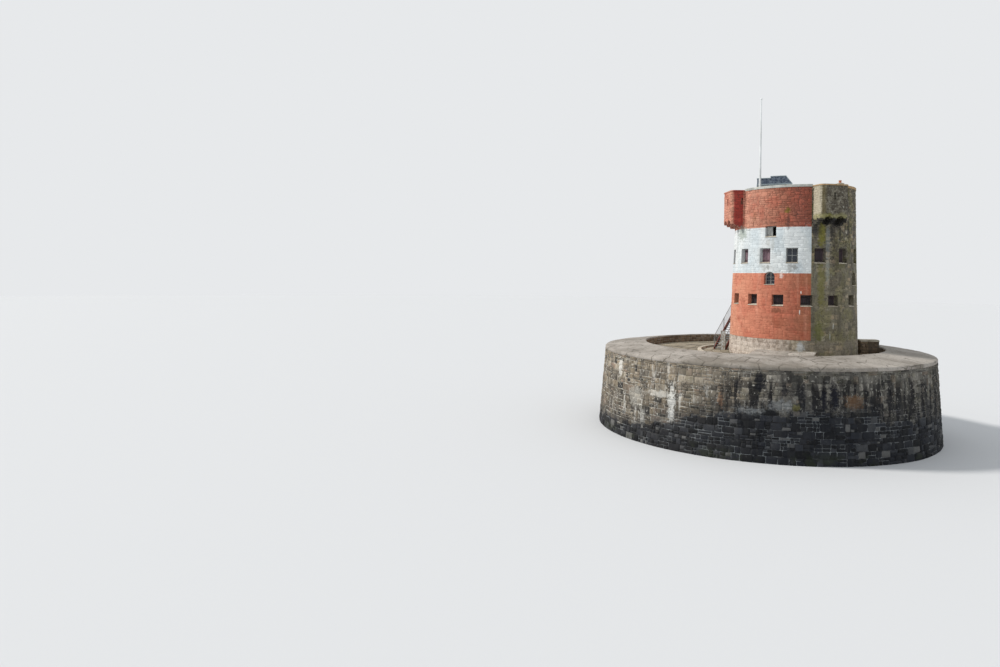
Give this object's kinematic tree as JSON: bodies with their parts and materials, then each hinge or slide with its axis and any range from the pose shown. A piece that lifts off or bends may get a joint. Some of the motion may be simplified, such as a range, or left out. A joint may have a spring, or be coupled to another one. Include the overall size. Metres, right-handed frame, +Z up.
{
  "type": "coastal defence tower",
  "caption": "Round tapering stone coastal defence tower with corbelled boxes and splayed windows, standing off centre on a broad round battered gun platform.",
  "frame": {"origin": "centre of the platform's foot, on the ground", "axes": "+Z up, +X to the right and -Y towards the viewer when the causeway side faces the viewer"},
  "size_m": [28.215, 28.215, 28.75],
  "materials": {
    "platform_stone": "rough blocks, stained",
    "rubble": "rough rubble fill",
    "capping": "worn, dusty",
    "tower_stone": "rough blocks under weathered red and white paint, with a bare strip",
    "box_stone": "blocks under weathered red paint",
    "coping_stone": "dressed, pale",
    "flagstone": "worn flags",
    "floor_boards": "bare boards",
    "zinc": "weathered blue-grey sheet",
    "mast_paint": "gloss white, chalky",
    "brick": "brick, weathered",
    "red_steel": "red oxide paint",
    "grey_steel": "dull galvanised",
    "pale_steel": "pale paint",
    "door_wood": "dull green paint"
  },
  "bodies": {
    "root": {"platform_core": "rubble", "platform_wall_front": "platform_stone", "platform_wall_right": "platform_stone", "platform_wall_back": "platform_stone", "platform_wall_left": "platform_stone", "parapet_front": "capping", "parapet_right": "capping", "parapet_back": "capping", "parapet_left": "capping", "causeway": "capping", "kerb": "capping", "cross_wall": "capping", "lower_wall_front": "tower_stone", "lower_wall_right": "tower_stone", "lower_wall_back": "tower_stone", "loophole_piers": "tower_stone", "middle_wall_front": "tower_stone", "middle_wall_right": "tower_stone", "middle_wall_back": "tower_stone", "middle_wall_left": "tower_stone", "upper_window_piers": "tower_stone", "upper_wall_front": "tower_stone", "upper_wall_right": "tower_stone", "upper_wall_back": "tower_stone", "roof_parapet_front": "tower_stone", "roof_parapet_right": "tower_stone", "roof_parapet_left": "tower_stone", "tower_coping": "coping_stone", "box_left": "box_stone", "box_right": "box_stone", "box_back": "box_stone", "corbels": "box_stone", "ground_floor": "flagstone", "first_floor": "floor_boards", "second_floor": "floor_boards", "roof_slab": "flagstone", "stairhead_walls": "coping_stone", "stairhead_hood": "zinc", "flagpole": "mast_paint", "chimney": "brick", "stair_stringers": "red_steel", "stair_treads": "grey_steel", "stair_landing": "grey_steel", "stair_railings": "grey_steel", "landing_railings": "grey_steel", "stair_screen": "pale_steel", "door_frame": "door_wood", "door_leaf": "door_wood"}
  },
  "joints": []
}
